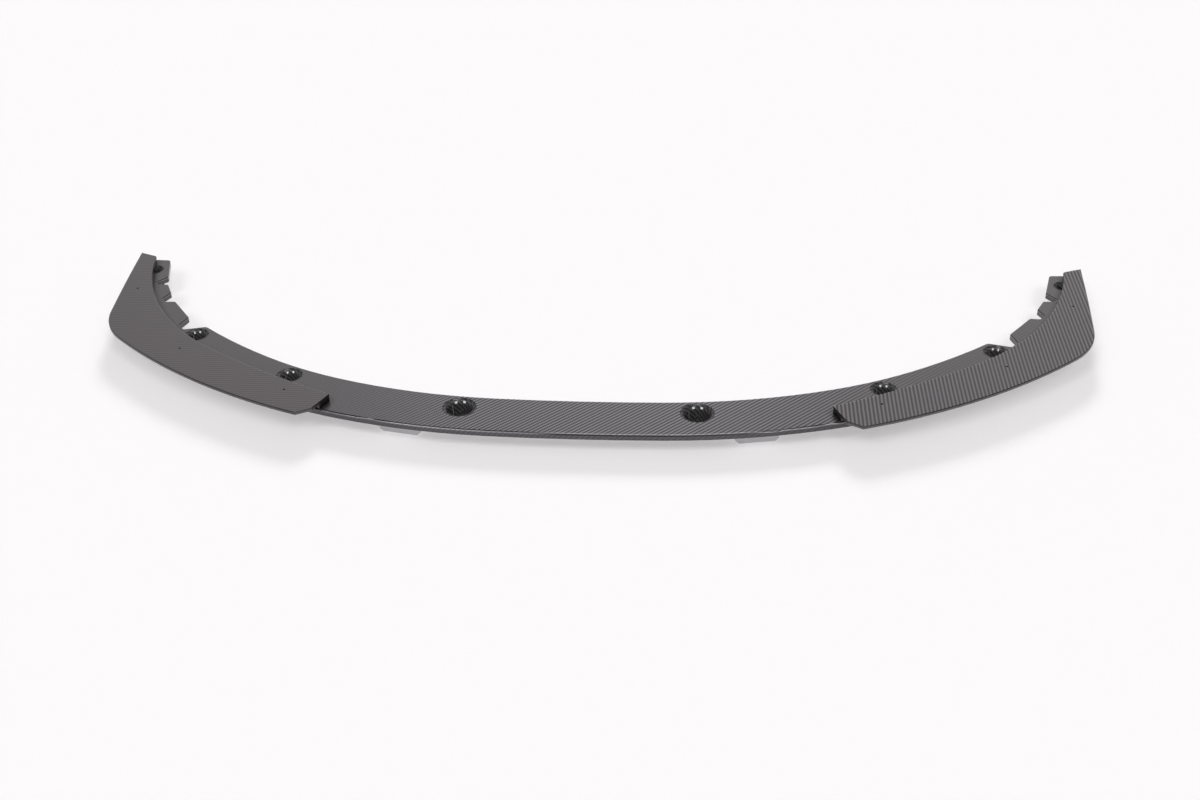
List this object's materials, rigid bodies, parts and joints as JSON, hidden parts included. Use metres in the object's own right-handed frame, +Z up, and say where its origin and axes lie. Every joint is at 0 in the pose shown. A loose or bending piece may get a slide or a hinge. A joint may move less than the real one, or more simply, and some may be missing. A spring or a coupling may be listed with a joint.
{
  "type": "front splitter lip",
  "caption": "Carbon twill front lip for a car: a flat swept blade with deep screw pockets and inner lugs, and a raised wing plate over each end.",
  "frame": {"origin": "on the surface that the screw pockets stand on, in the middle of the lip's plan", "axes": "+X to the right across the car seen from the front, +Y from the front edge back towards the car, +Z up"},
  "size_m": [1.7558, 0.562, 0.05],
  "materials": {
    "blade_carbon": "2x2 twill carbon laminate under a satin clear coat",
    "wing_carbon": "2x2 twill carbon laminate under a satin clear coat",
    "pad_plastic": "light grey moulded plastic, matt"
  },
  "bodies": {
    "root": {"main_blade": "blade_carbon", "left_wing": "wing_carbon", "right_wing": "wing_carbon", "left_support_pad": "pad_plastic", "right_support_pad": "pad_plastic"}
  },
  "joints": []
}
